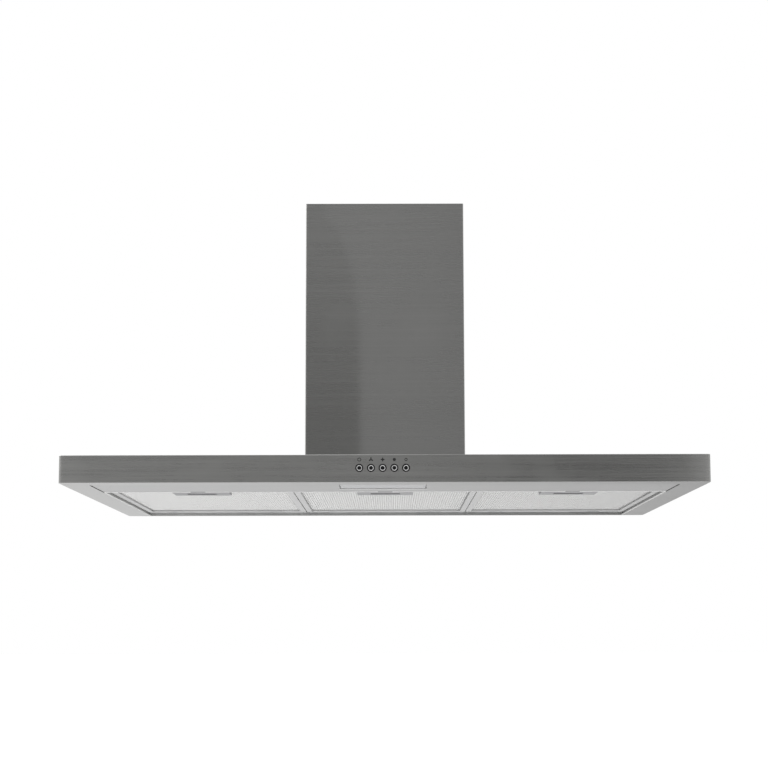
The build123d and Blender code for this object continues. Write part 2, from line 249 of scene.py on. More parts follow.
STEEL = (0.315, 0.315, 0.308)
M = {}
M["steel_chimney"] = brushed("brushed_steel_chimney", (0.25, 0.25, 0.243), 0.28, 0.8, coat=1.0, coat_ior=1.8, coat_rough=0.03, streak=0.05)
M["steel_band"] = brushed("brushed_steel_band", STEEL, 0.28, 0.8, streak=0.09)
M["steel_top"] = brushed("brushed_steel_top", (0.40, 0.40, 0.392), 0.32, 0.6, tangent=(0, 1, 0), grain="x", streak=0.06)
# painted light: the rim's colour runs from lighter on the left to darker on the right
M["steel_rim"] = brushed("brushed_steel_rim", (0.43, 0.43, 0.427), 0.34, 0.4, tangent=(0, 1, 0), grain="x", tint=0.56, streak=0.05,
                         painted_light_falloff=(0, -0.45, 0.45, 1.20, 0.72))
# painted light: the panel's colour runs from lighter on the left to darker on the right
M["steel_panel"] = brushed("brushed_steel_panel", (0.43, 0.43, 0.43), 0.36, 0.4, tangent=(0, 1, 0), grain="x", tint=0.58, streak=0.05,
                           painted_light_falloff=(0, -0.45, 0.45, 1.10, 0.83))
# painted shade: the returns are the same sheet, coloured much darker to stand for the shadow in the gap beside the
# filters
M["steel_return"] = brushed("return_wall_painted_shade", (0.24, 0.24, 0.237), 0.42, 0.3, streak=0.06)
M["galvanised"] = galvanised()
# painted light: the frames' colour runs from lighter on the left to darker on the right
M["frame_alu"] = brushed("filter_frame_aluminium", (0.52, 0.52, 0.52), 0.42, 0.2, tangent=(0, 1, 0), grain="x", streak=0.04, tint=0.60,
                         painted_light_falloff=(0, -0.45, 0.45, 1.05, 0.94))
# painted light: the mesh's colour runs from lighter on the left to darker on the right
M["mesh_alu"] = painted("expanded_aluminium", (0.63, 0.63, 0.625), 0.5, 1400, 0.05, metallic=0.5, var=0.03, painted_light_fall=(1.03, 0.83))
# painted light: the foil layers are coloured lighter than the outer mesh to cancel the shade behind it, and run lighter
# on the left than on the right
M["mesh_back"] = painted("layered_foil_painted_light", (0.72, 0.72, 0.715), 0.6, 700, 0.15, metallic=0.3, var=0.08, painted_light_fall=(1.03, 0.83))
M["handle_grey"] = painted("moulded_grey_plastic", (0.205, 0.205, 0.21), 0.55, 1500, 0.15, var=0.05, wear=(0.40, 0.40, 0.40), Specular_IOR_Level=0.22)
M["latch_steel"] = brushed("latch_steel", (0.045, 0.045, 0.047), 0.38, 0.3, tangent=(0, 1, 0), grain="x", tint=0.35)
# the sheet's cut edges, coloured light grey matte so that the edge lines read bright: partly the real edge, partly a
# painted highlight
M["cut_edge"] = painted("sheet_edge_painted_highlight", (0.60, 0.60, 0.595), 0.5, 900, 0.1, metallic=0.2, var=0.05)
# painted shade: seam walls coloured near black to stand for the shadow in the gaps beside the light panel
M["seam_dark"] = brushed("seam_wall_painted_shade", (0.06, 0.06, 0.06), 0.45, 0.2, streak=0.05, tint=0.4)
# painted highlight: the lowest strip of the returns is coloured light to draw the bright fold line at the opening edge
M["fold_side"] = painted("steel_side_fold", (0.72, 0.72, 0.715), 0.45, 900, 0.06, metallic=0.2, var=0.04)
# painted highlight: near-white matte on the light panel's front-facing walls, so that they read as a bright line
M["reveal"] = painted("lamp_opening_reveal", (0.93, 0.93, 0.925), 0.5, 900, 0.08, metallic=0.0, var=0.04)
# painted highlight: the band's top fold is coloured light, fading towards the right, to draw the bright edge line under
# the chimney
M["steel_fold"] = brushed("band_top_fold_painted_highlight", (0.72, 0.72, 0.71), 0.30, 0.3, tangent=(1, 0, 0), streak=0.04, painted_light_falloff=(0, -0.05, 0.10, 1.0, 0.45))
# painted light: the frames' outer side walls are coloured lighter than the frame to lighten the shade in the gaps
# between filters
M["frame_side"] = brushed("filter_frame_sides", (0.74, 0.74, 0.735), 0.40, 0.1, streak=0.04)
# painted light: the rear lip's colour runs from lighter on the left to darker on the right
M["steel_lip"] = brushed("steel_rear_lip", (0.43, 0.43, 0.425), 0.34, 0.5, streak=0.05, painted_light_falloff=(0, -0.42, 0.42, 1.10, 0.78))
M["spring_steel"] = painted("spring_steel", (0.34, 0.35, 0.37), 0.28, 2200, 0.05, metallic=1.0)
M["chrome"] = painted("chrome_cap", (0.80, 0.80, 0.80), 0.12, 2600, 0.03, metallic=1.0, var=0.03)
M["black"] = painted("black_plastic", (0.008, 0.008, 0.009), 0.35, 1800, 0.10, var=0.2, wear=(0.015, 0.015, 0.015), Specular_IOR_Level=0.15)
M["white"] = painted("white_plastic", (0.78, 0.78, 0.76), 0.4, 1600, 0.08, var=0.03)
M["lens"] = painted("frosted_lens", (0.385, 0.388, 0.392), 0.55, 1300, 0.08, var=0.03, Transmission_Weight=0.12, IOR=1.49, Specular_IOR_Level=0.2)
M["glass"] = painted("lamp_tube_glass", (0.90, 0.90, 0.88), 0.25, 900, 0.03, var=0.03, Coat_Weight=0.4, Coat_Roughness=0.08)
M["motor"] = painted("motor_enamel", (0.16, 0.17, 0.18), 0.42, 420, 0.25, var=0.10, wear=(0.30, 0.30, 0.30))
M["zinc"] = painted("zinc_plate", (0.62, 0.62, 0.58), 0.32, 1500, 0.10, metallic=1.0, var=0.08)
M["rubber"] = painted("black_rubber", (0.02, 0.02, 0.02), 0.62, 1400, 0.2, var=0.2)
M["print"] = painted("printed_symbol", (0.015, 0.015, 0.015), 0.5, 2600, 0.05, var=0.2)

BY_SLOT = {
    "brushed_stainless": "steel_band", "rim_stainless": "steel_rim", "galvanised": "galvanised",
    "filter_aluminium": "frame_alu", "filter_mesh": "mesh_alu", "handle_grey": "handle_grey",
    "latch_steel": "latch_steel", "spring_steel": "spring_steel", "chrome": "chrome", "black_plastic": "black",
    "white_plastic": "white", "lens_plastic": "lens", "lamp_glass": "glass", "motor_paint": "motor",
    "fastener_zinc": "zinc", "rubber_black": "rubber",
}


def mat_for(node):
    return M[BY_SLOT[SLOT_OF[node]]]


# ------------------------------------------------------------------ mesh helpers
def finish_mesh(name, me, body, mats, sharp=32.0, weighted=True):
    bm = bmesh.new()
    bm.from_mesh(me)
    bmesh.ops.recalc_face_normals(bm, faces=bm.faces)
    for e in bm.edges:
        e.smooth = not (len(e.link_faces) == 2 and e.calc_face_angle(0.0) > math.radians(sharp))
    for f in bm.faces:
        f.smooth = True
    bm.to_mesh(me)
    bm.free()
    o = bpy.data.objects.new(name, me)
    COL.objects.link(o)
    for m in mats:
        me.materials.append(m)
    if weighted:
        w = o.modifiers.new("normals", "WEIGHTED_NORMAL")
        w.keep_sharp = True
        w.weight = 100
    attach(o, body)
    return o


def mesh_of(verts, faces):
    me = bpy.data.meshes.new("m")
    me.from_pydata([tuple(v) for v in verts], [], faces)
    me.validate()
    return me


EASE_RUN = (34.0, 27.0, 21.0, 15.0, 9.0, 4.0)


def ring(x0, x1, y0, y1, r, z, n=6, ease=0.0, runs=EASE_RUN):
    """Rounded rectangle as a loop of points, n + 1 points to a corner and six more on each run beside it.
    ease pulls the ends of each run inwards a little, as a folded sheet does near its corners."""
    out = []
    for cx, cy, a in ((x1 - r, y0 + r, -90), (x1 - r, y1 - r, 0), (x0 + r, y1 - r, 90), (x0 + r, y0 + r, 180)):
        q = math.radians(a)
        u, w = (math.cos(q), math.sin(q)), (math.cos(q + math.pi / 2), math.sin(q + math.pi / 2))
        for d in runs:
            k = ease * ((EASE_RUN[0] - d) / EASE_RUN[0]) ** 2
            out.append((cx + (r - k) * u[0] - d * w[0] * 1.0, cy + (r - k) * u[1] - d * w[1] * 1.0, z))
        for i in range(n + 1):
            t = math.radians(a + 90.0 * i / n)
            out.append((cx - ease * (u[0] + w[0]) + r * math.cos(t), cy - ease * (u[1] + w[1]) + r * math.sin(t), z))
        for d in reversed(runs):
            k = ease * ((EASE_RUN[0] - d) / EASE_RUN[0]) ** 2
            out.append((cx + (r - k) * w[0] - d * u[0], cy + (r - k) * w[1] - d * u[1], z))
    return out


def loft(loops, closed_stack=False, closed_loop=True):
    n = len(loops[0])
    verts = [p for lp in loops for p in lp]
    faces = []
    k = len(loops)
    for i in range(k if closed_stack else k - 1):
        j = (i + 1) % k
        for a in range(n if closed_loop else n - 1):
            b = (a + 1) % n
            faces.append((i * n + a, i * n + b, j * n + b, j * n + a))
    return verts, faces


def lathe(profile, seg=40, cap_start=False, cap_end=False):
    """profile is (r, y) along -Y towards the viewer; spun about the Y axis."""
    loops = [[(r * math.cos(2 * math.pi * i / seg), y, r * math.sin(2 * math.pi * i / seg)) for i in range(seg)]
             for r, y in profile]
    v, f = loft(loops)
    if cap_start:
        f.append(tuple(range(seg)))
    if cap_end:
        m = (len(loops) - 1) * seg
        f.append(tuple(reversed(range(m, m + seg))))
    return v, f


def merge(parts):
    verts, faces = [], []
    for v, f in parts:
        k = len(verts)
        verts += list(v)
        faces += [tuple(i + k for i in q) for q in f]
    return verts, faces


def moved(vf, d):
    v, f = vf
    return [(p[0] + d[0], p[1] + d[1], p[2] + d[2]) for p in v], f


def scaled(vf, s=MM):
    v, f = vf
    return [(p[0] * s, p[1] * s, p[2] * s) for p in v], f


def applied(o):
    """The object's mesh with its modifiers applied."""
    dg = bpy.context.evaluated_depsgraph_get()
    me = bpy.data.meshes.new_from_object(o.evaluated_get(dg))
    return me


def refine(node, bevel=0.3, seg=2, mat=None, body=None, name=None, angle=35, spots=()):
    """A finished copy of a CAD node: planar faces cleaned, edges rounded, level normals."""
    src = NODES[node]
    bm = bmesh.new()
    bm.from_mesh(src.data)
    bmesh.ops.remove_doubles(bm, verts=bm.verts, dist=2e-6)
    bmesh.ops.dissolve_degenerate(bm, dist=1e-7, edges=bm.edges)
    me = bpy.data.meshes.new(node + "_fine")
    for f in bm.faces:
        f.smooth = True
    bm.to_mesh(me)
    bm.free()
    o = bpy.data.objects.new(name or node + "_finished", me)
    COL.objects.link(o)
    me.materials.append(mat or mat_for(node))
    for k, (m, test) in enumerate(spots):
        me.materials.append(m)
        for p in me.polygons:
            if test(p.center / MM, p.normal):
                p.material_index = k + 1
    if bevel:
        b = o.modifiers.new("edges", "BEVEL")
        b.width = bevel * MM
        b.segments = seg
        b.limit_method = "ANGLE"
        b.angle_limit = math.radians(angle)
        b.harden_normals = False
        b.use_clamp_overlap = True
        b.miter_outer = "MITER_ARC"
    w = o.modifiers.new("normals", "WEIGHTED_NORMAL")
    w.keep_sharp = True
    w.weight = 100
    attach(o, body or BODY_OF[node])
    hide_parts(node)
    return o


# ------------------------------------------------------------------ sizes read from the frame
c_lo, c_hi = nbox("canopy_shell")
X0, X1, Y0, Y1 = c_lo.x / MM, c_hi.x / MM, c_lo.y / MM, c_hi.y / MM
H = c_hi.z / MM
BTN = [((nbox("button_%d" % i)[0] + nbox("button_%d" % i)[1]) / 2) / MM for i in range(1, 6)]
p_lo, p_hi = nbox("front_light_panel")
rail_lo, rail_hi = nbox("filter_rear_rail")
OX = 413.0
OY0, OY1 = -264.0, 294.0
PANEL_REAR = p_hi.y / MM

# ------------------------------------------------------------------ canopy, one folded sheet
NC = 8


def rim_ring(inset, z, r=5.0):
    return ring(X0 + inset, X1 - inset, Y0 + inset, Y1 - inset, max(r - inset, 0.4), z, NC, 0.45)


def open_ring(grow, z):
    return ring(-OX - grow, OX + grow, OY0 - grow, OY1 + grow, 0.6 + grow, z, NC, runs=(PANEL_REAR - OY0 - 0.6,) + EASE_RUN[1:])


def hole_ring(grow, z):
    return ring(-100 - grow, 100 + grow, -100 - grow, 100 + grow, 0.5 + grow, z, NC)


loops = [hole_ring(0, H - 0.2), hole_ring(0.2, H)]
loops += [ring(-160, 160, -150, 150, 6, H, NC)]
for i in range(6):
    t = math.radians(90.0 * i / 5)
    loops.append(rim_ring(0.6 * (1 - math.sin(t)), H - 0.6 + 0.6 * math.cos(t)))
for i in range(7):
    t = math.radians(90.0 * i / 6)
    loops.append(rim_ring(0.6 * (1 - math.cos(t)), 0.6 - 0.6 * math.sin(t)))
loops += [open_ring(0.25, 0.0), open_ring(0.07, 0.07), open_ring(0.0, 0.25), open_ring(0.0, 0.75), open_ring(0.07, 0.93), open_ring(0.25, 1.0)]
loops += [rim_ring(1.9, 1.0, 4.0), rim_ring(1.2, 1.25, 4.0), rim_ring(1.0, 1.9, 4.0), rim_ring(1.0, H - 1.8, 4.0), rim_ring(1.25, H - 1.15, 4.0), rim_ring(1.9, H - 1.0, 4.0)]
loops += [hole_ring(0.2, H - 1.0), hole_ring(0, H - 0.8)]
me = mesh_of(*scaled(loft(loops, closed_stack=True)))
shell = bpy.data.objects.new("shell_raw", me)
COL.objects.link(shell)
cut = mesh_of(*scaled(merge([moved(([(5.0 * math.cos(2 * math.pi * i / 40), y, 5.0 * math.sin(2 * math.pi * i / 40))
                                     for y in (-6, 6) for i in range(40)],
                                    [(i, (i + 1) % 40, 40 + (i + 1) % 40, 40 + i) for i in range(40)]
                                    + [tuple(reversed(range(40))), tuple(range(40, 80))]), (b.x, Y0, b.z)) for b in BTN])))
bmc = bmesh.new()
bmc.from_mesh(cut)
bmesh.ops.recalc_face_normals(bmc, faces=bmc.faces)
bmc.to_mesh(cut)
bmc.free()
bms = bmesh.new()
bms.from_mesh(me)
bmesh.ops.recalc_face_normals(bms, faces=bms.faces)
bms.to_mesh(me)
bms.free()
cutter = bpy.data.objects.new("cutter", cut)
COL.objects.link(cutter)
bo = shell.modifiers.new("holes", "BOOLEAN")
bo.operation = "DIFFERENCE"
bo.solver = "EXACT"
bo.object = cutter
bpy.context.view_layer.update()
me2 = applied(shell)
bpy.data.objects.remove(shell)
bpy.data.objects.remove(cutter)

# turned-up returns along the sides and the rear of the opening
prof = [(0.0, 0.75), (0.08, 0.57), (0.25, 0.5), (0.75, 0.5), (0.92, 0.57), (1.0, 0.75), (1.0, 12.75), (0.92, 12.92), (0.75, 13.0), (0.25, 13.0), (0.08, 12.92), (0.0, 12.75), (0.0, 1.9)]
path = []
PY = PANEL_REAR + 1.0
LEAN = 0.0
for s in (-1,):
    path.append((-OX, PY, (-1, 0)))
path.append((-OX, OY1 - 1.5, (-1, 0)))
for i in range(1, 6):
    t = math.radians(180 - 90.0 * i / 6)
    path.append((-OX + 1.5 + 1.5 * math.cos(t), OY1 - 1.5 + 1.5 * math.sin(t), (math.cos(t), math.sin(t))))
path.append((-OX + 1.5, OY1, (0, 1)))
right = [(-x, y, (-n[0], n[1])) for x, y, n in reversed(path)]
path += right
lps = [[(x + n[0] * (o - LEAN * z / 13.0), y + n[1] * (o - LEAN * z / 13.0), z) for o, z in prof] for x, y, n in path]
rv, rf = loft(lps)
k = len(lps)
n = len(prof)
rf += [tuple(range(n)), tuple(reversed(range((k - 1) * n, k * n)))]
ret = mesh_of(*scaled((rv, rf)))
bm = bmesh.new()
bm.from_mesh(me2)
bm.from_mesh(ret)
me3 = bpy.data.meshes.new("canopy")
bm.to_mesh(me3)
bm.free()
canopy = finish_mesh("canopy_sheet", me3, "hood", [M["steel_band"], M["steel_rim"], M["steel_top"], M["steel_return"], M["steel_lip"], M["steel_fold"], M["fold_side"], M["seam_dark"]])
for p in canopy.data.polygons:
    c = p.center / MM
    if p.normal.z < -0.75 and c.z < 0.9:
        p.material_index = 1
    # the front bevel of the top fold gets the light colour: a painted highlight
    elif c.z > H - 0.62 and 0.2 < p.normal.z < 0.985 and p.normal.y < -0.1 and c.y < Y0 + 2:
        p.material_index = 5
    elif abs(p.normal.z) > 0.75:
        p.material_index = 2
    # the inner faces of the returns get the darker steel: painted shade
    elif abs(p.normal.x) > 0.5 and abs(c.x) < OX + 2 and c.z < 13.5 and c.y > PANEL_REAR:
        # the strip below z 1.9 gets the light colour: a painted highlight
        p.material_index = 3 if c.z > 1.9 else 6
    # the opening edges beside the light panel get the near-black seam colour: painted shade
    elif abs(p.normal.x) > 0.5 and abs(c.x) < OX + 2 and c.z < 1.1 and c.y < PANEL_REAR:
        p.material_index = 7
    elif p.normal.y < -0.5 and c.y > OY1 - 3 and c.z < 13.5:
        p.material_index = 4
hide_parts("canopy_shell")


# ------------------------------------------------------------------ chimney covers, folded halves
def cover(node, r, t=1.0):
    lo, hi = nbox(node)
    x0, x1, y0, y1, z0, z1 = [v / MM for v in (lo.x, hi.x, lo.y, hi.y, lo.z, hi.z)]
    sy = -1 if y0 + y1 < 0 else 1
    yf, ys = (y0, y1) if sy < 0 else (y1, y0)     # outer face, seam
    n = 8
    pts = [(x0, ys, (-1, 0)), (x0, ys + sy * 0.35, (-1, 0)), (x0, yf - sy * r, (-1, 0))]
    for i in range(1, n):
        a = math.radians(90.0 * i / n)
        pts.append((x0 + r - r * math.cos(a), yf - sy * r + sy * r * math.sin(a), (-math.cos(a), sy * math.sin(a))))
    pts.append((x0 + r, yf, (0, sy)))
    pts += [(x1 + x0 - x, y, (-nn[0], nn[1])) for x, y, nn in reversed(pts)]
    e = 0.12
    eb = 0.5 if node.startswith("lower") else e
    sect = [(0, z0 + eb), (eb, z0), (t - e, z0), (t, z0 + e), (t, z1 - e), (t - e, z1), (e, z1), (0, z1 - e)]
    # sheet's section: outer face at 0, inner at t
    loops = [[(x - nn[0] * o, y - nn[1] * o, z) for o, z in sect] for x, y, nn in pts]
    v, f = loft(loops)
    m = len(sect)
    k = len(loops)
    f += [tuple(range(m)), tuple(reversed(range((k - 1) * m, k * m)))]
    o = finish_mesh(node + "_sheet", mesh_of(*scaled((v, f))), BODY_OF[node], [M["steel_chimney"], M["cut_edge"]])
    # top and bottom edges of the cover get the light edge colour: partly the real cut edge, partly a painted highlight
    for p in o.data.polygons:
        if abs(p.normal.z) > 0.3:
            p.material_index = 1
    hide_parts(node)
    return o


for nd, r in (("lower_chimney_front", 1.6), ("lower_chimney_rear", 1.6), ("upper_chimney_front", 1.6), ("upper_chimney_rear", 1.6)):
    cover(nd, r)

# ------------------------------------------------------------------ push buttons, bezels, symbols
Y_F = Y0
bez = []
for b in BTN:
    prof = [(4.3, 3.0), (4.9, 3.0), (4.9, 0.0), (5.5, 0.0), (5.58, -0.06), (5.58, -0.20), (5.5, -0.33), (5.3, -0.4), (4.7, -0.4), (4.42, -0.34), (4.3, -0.2), (4.27, 0.1)]
    v, f = loft([[(r * math.cos(2 * math.pi * i / 48), y, r * math.sin(2 * math.pi * i / 48)) for i in range(48)] for r, y in prof], closed_stack=True)
    bez.append(moved((v, f), (b.x, Y_F, b.z)))
bz = finish_mesh("button_bezel_rings", mesh_of(*scaled(merge(bez))), "hood", [M["black"]], sharp=50)
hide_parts("button_bezels")
for i, b in enumerate(BTN):
    cap = [(2.0, 20.5), (2.0, 8.0), (4.0, 8.0), (4.15, 7.85), (4.15, 0.05), (4.1, -0.1), (3.98, -0.18), (3.86, -0.18), (3.84, 0.1), (2.72, 0.1), (2.70, -0.05), (2.62, -0.13),
           (2.2, -0.10), (1.6, 0.0), (0.9, 0.08), (0.3, 0.1)]
    v, f = lathe(cap, 48, cap_start=True, cap_end=True)
    at = (b.x, Y_F, b.z)
    body = "push_button_%d" % (i + 1)
    o = finish_mesh("button_%d_cap" % (i + 1), mesh_of(*scaled(moved((v, f), at))), body, [M["black"]], sharp=50)
    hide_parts("button_%d" % (i + 1))
    prof = [(2.74, 0.08), (3.82, 0.08), (3.82, -0.16), (3.76, -0.26), (3.62, -0.34), (3.42, -0.385), (3.2, -0.39), (3.0, -0.33), (2.84, -0.2), (2.76, -0.04)]
    v, f = loft([[(r * math.cos(2 * math.pi * k / 48), y, r * math.sin(2 * math.pi * k / 48)) for k in range(48)] for r, y in prof], closed_stack=True)
    finish_mesh("button_%d_ring" % (i + 1), mesh_of(*scaled(moved((v, f), at))), body, [M["chrome"]], sharp=60)


def plate_of(outline, thick=0.05):
    """Thin raised print from a closed outline in (x, z)."""
    n = len(outline)
    v = [(x, 0.02, z) for x, z in outline] + [(x, -thick, z) for x, z in outline]
    f = [tuple(range(n)), tuple(reversed(range(n, 2 * n)))] + [(i, (i + 1) % n, n + (i + 1) % n, n + i) for i in range(n)]
    return v, f


def ring_of(r0, r1, thick=0.05, n=36):
    prof = [(r0, 0.02), (r0, -thick), (r1, -thick), (r1, 0.02)]
    return loft([[(r * math.cos(2 * math.pi * i / n), y, r * math.sin(2 * math.pi * i / n)) for i in range(n)] for r, y in prof], closed_stack=True)


def disc(r, cx=0, cz=0, n=28):
    return plate_of([(cx + r * math.cos(2 * math.pi * i / n), cz + r * math.sin(2 * math.pi * i / n)) for i in range(n)])


def blades(count, r=1.75):
    out = [disc(0.9)]
    for k in range(count):
        a = math.radians(90 + 360.0 * k / count)
        pts = []
        for j in range(14):
            u = j / 13.0
            rr = 0.35 + (r - 0.35) * math.sin(math.pi * u) ** 0.8 if 0 < u < 1 else 0.35
            aa = a + (u - 0.5) * 1.5
            pts.append((rr * math.cos(aa), rr * math.sin(aa)))
        out.append(plate_of(pts))
    return merge(out)


Z_ICON = BTN[0].z + 11.6
icons = [ring_of(1.75, 2.65), blades(3, 3.2), blades(4, 2.7), disc(2.2), ring_of(1.2, 2.1)]
ic = finish_mesh("button_symbols", mesh_of(*scaled(merge([moved(s, (b.x, Y_F, Z_ICON)) for s, b in zip(icons, BTN)]))), "hood", [M["print"]], weighted=False)

# ------------------------------------------------------------------ light panel and lens
# the panel's end walls get the near-black seam colour: painted shade in the seam beside the rim
# the panel's front-facing walls get near-white matte: a painted highlight
refine("front_light_panel", 0.22, 2, M["steel_panel"],
       spots=[(M["reveal"], lambda c, n: n.y < -0.7), (M["seam_dark"], lambda c, n: abs(n.x) > 0.7 and abs(c.x) > 300)])
l_lo, l_hi = nbox("lamp_lens")
LX = (l_hi.x - l_lo.x) / MM / 2 - 2.4
LCX = (l_hi.x + l_lo.x) / MM / 2
ly0, ly1, lz0, lz1 = l_lo.y / MM, l_lo.y / MM + 72.0, 2.0, 4.0
nx, ny = 40, 96


def lens_z(u, v):
    """Underside: a shallow crown with fine prism ribs, plain round the border."""
    bx = min(1.0, (1 - abs(u)) * LX / 4.0)
    by = min(1.0, (1 - abs(v)) * 36.0 / 4.0)
    e = max(0.0, min(bx, by))
    e = e * e * (3 - 2 * e)
    rib = 0.5 - 0.5 * math.cos(2 * math.pi * (v * 36.0) / 3.0)
    return lz0 + 0.35 * (1 - e) + 0.12 * rib * e


v, f = [], []
us = [math.copysign(1 - (1 - abs(t)) ** 1.6, t) if t else 0.0 for t in [(-1 + 2 * i / nx) for i in range(nx + 1)]]
vs = [-1 + 2 * j / ny for j in range(ny + 1)]
ymid = (ly0 + ly1) / 2
for j in range(ny + 1):
    for i in range(nx + 1):
        v.append((us[i] * (LX - 0.05), ymid + vs[j] * 36.0 * 0.9985, lens_z(us[i], vs[j])))
for j in range(ny):
    for i in range(nx):
        a = j * (nx + 1) + i
        f.append((a, a + 1, a + nx + 2, a + nx + 1))
edge = [i for i in range(nx + 1)] + [j * (nx + 1) + nx for j in range(1, ny + 1)] + [ny * (nx + 1) + i for i in range(nx - 1, -1, -1)] + [j * (nx + 1) for j in range(ny - 1, 0, -1)]
top = len(v)
for i in edge:
    v.append((v[i][0], v[i][1], lz1))
ne = len(edge)
for q in range(ne):
    f.append((edge[q], edge[(q + 1) % ne], top + (q + 1) % ne, top + q))
f.append(tuple(top + q for q in range(ne)))
pin = []
for s in (-1, 1):
    rr = 0.8
    pv = [(s * (LX - 1.0 + (3.4 * k)), ly1 - 1.0 + rr * math.cos(2 * math.pi * i / 20), 3.0 + rr * math.sin(2 * math.pi * i / 20)) for k in (0, 1) for i in range(20)]
    pf = [(i, (i + 1) % 20, 20 + (i + 1) % 20, 20 + i) for i in range(20)] + [tuple(range(20)), tuple(reversed(range(20, 40)))]
    pin.append((pv, pf))
lens = finish_mesh("lamp_cover_lens", mesh_of(*scaled(moved(merge([(v, f)] + pin), (LCX, 0, 0)))), "lamp_cover", [M["lens"]], sharp=40)
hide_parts("lamp_lens")

# ------------------------------------------------------------------ filters
PX, PYM = 7.2, 4.3


def expanded(x0, x1, y0, y1, skip, z):
    """Expanded metal: a lattice of diamond openings with tilted strands."""
    verts, faces, seen = [], [], {}

    def vert(x, y, zz):
        k = (round(x, 3), round(y, 3), round(zz, 3))
        if k not in seen:
            seen[k] = len(verts)
            verts.append((x, y, zz))
        return seen[k]

    ny_ = int((y1 - y0) / (PYM / 2)) + 1
    nx_ = int((x1 - x0) / PX) + 2
    for j in range(ny_):
        cy = y0 + j * PYM / 2
        off = PX / 2 if j % 2 else 0.0
        for i in range(nx_):
            cx = x0 + i * PX + off
            if cx - PX / 2 < x0 - 2 or cx + PX / 2 > x1 + 2 or cy > y1 or skip(cx, cy):
                continue
            o = [(cx - PX / 2, cy, z - 0.03), (cx, cy - PYM / 2, z + 0.07), (cx + PX / 2, cy, z - 0.03), (cx, cy + PYM / 2, z - 0.07)]
            k = 0.56
            inn = [(cx + (a - cx) * k, cy + (b - cy) * k, z + (c - z) * 0.6) for a, b, c in o]
            oi = [vert(*p) for p in o]
            ii = [vert(*p) for p in inn]
            for a in range(4):
                b = (a + 1) % 4
                faces.append((oi[a], oi[b], ii[b], ii[a]))
    return verts, faces


for side in ("left", "centre", "right"):
    flo, fhi = nbox("filter_frame_" + side)
    # outer side walls get the lighter colour: painted light against the shade in the gaps
    fr = refine("filter_frame_" + side, 0.45, 3, M["frame_alu"],
                spots=[(M["frame_side"], lambda c, n: abs(n.x) > 0.7 and min(c.x - flo.x / MM, fhi.x / MM - c.x) < 1.5)])
    lo, hi = nbox("filter_mesh_" + side)
    x0, x1, y0, y1, z0, z1 = [q / MM for q in (lo.x, hi.x, lo.y, hi.y, lo.z, hi.z)]
    hlo, hhi = nbox("latch_housing_" + side)
    hx0, hx1, hy0, hy1 = hlo.x / MM, hhi.x / MM, hlo.y / MM, hhi.y / MM
    cx = (x0 + x1) / 2

    def skip(px, py):
        return hx0 + 1 < px < hx1 - 1 and py < hy1 - 1

    me = mesh_of(*scaled(expanded(x0, x1, y0, y1, skip, z0 + 0.45)))
    o = bpy.data.objects.new("filter_expanded_" + side, me)
    COL.objects.link(o)
    me.materials.append(M["mesh_alu"])
    so = o.modifiers.new("gauge", "SOLIDIFY")
    so.thickness = 0.45 * MM
    so.offset = 0.0
    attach(o, BODY_OF["filter_mesh_" + side])
    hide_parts("filter_mesh_" + side)
    # crimped inner layers behind the outer mesh
    gx, gy = 96, 150
    bv, bf = [], []
    for layer_z in (z0 + 1.35, z1 - 0.55):
        k0 = len(bv)
        for j in range(gy + 1):
            for i in range(gx + 1):
                x = x0 - 1 + (x1 - x0 + 2) * i / gx
                y = y0 - 1 + (y1 - y0 + 2) * j / gy
                w = 0.14 * math.sin(x * 1.7 + 1.3 * math.sin(y * 0.31)) * math.cos(y * 1.9 + 0.9 * math.sin(x * 0.23))
                bv.append((x, y, layer_z + w))
        for j in range(gy):
            for i in range(gx):
                a = k0 + j * (gx + 1) + i
                if not skip(bv[a][0] + 1.3, bv[a][1] + 1.3):
                    bf.append((a, a + 1, a + gx + 2, a + gx + 1))
    bme = mesh_of(*scaled((bv, bf)))
    for p in bme.polygons:
        p.use_smooth = True
    bo_ = bpy.data.objects.new("filter_layers_" + side, bme)
    COL.objects.link(bo_)
    # the layers get the foil colour that is painted lighter to cancel the shade behind the outer mesh
    bme.materials.append(M["mesh_back"])
    so = bo_.modifiers.new("gauge", "SOLIDIFY")
    so.thickness = 0.3 * MM
    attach(bo_, BODY_OF["filter_mesh_" + side])
    refine("latch_housing_" + side, 0.5, 3)
    refine("latch_slide_" + side, 0.3, 2)

# ------------------------------------------------------------------ the rest: finished copies of the plain sheet parts
for nd, bev in (("filter_rear_rail", 0.25), ("lamp_housing", 0.3), ("lamp_socket", 0.6), ("ceiling_plate", 0.3), ("base_frame", 0.3),
                ("upright_brace", 0.3), ("upper_uprights", 0.35), ("lower_uprights", 0.35), ("switch_bracket", 0.25),
                ("switch_housing", 0.5), ("terminal_box", 0.4), ("terminal_box_lid", 0.4), ("scroll_side_left", 0.25),
                ("scroll_side_right", 0.25), ("motor_bracket", 0.3), ("cable_gland", 0.4), ("motor_capacitor", 1.2), ("height_bolts", 0.3),
                ("canopy_bolts", 0.3), ("panel_screws", 0.25), ("upper_chimney_screws", 0.25), ("wheel_nut", 0.4)):
    refine(nd, bev, 2)

for nd, o in NODES.items():
    if not o.hide_render:
        m = mat_for(nd)
        if o.data.materials:
            for i in range(len(o.data.materials)):
                o.data.materials[i] = m
        else:
            o.data.materials.append(m)

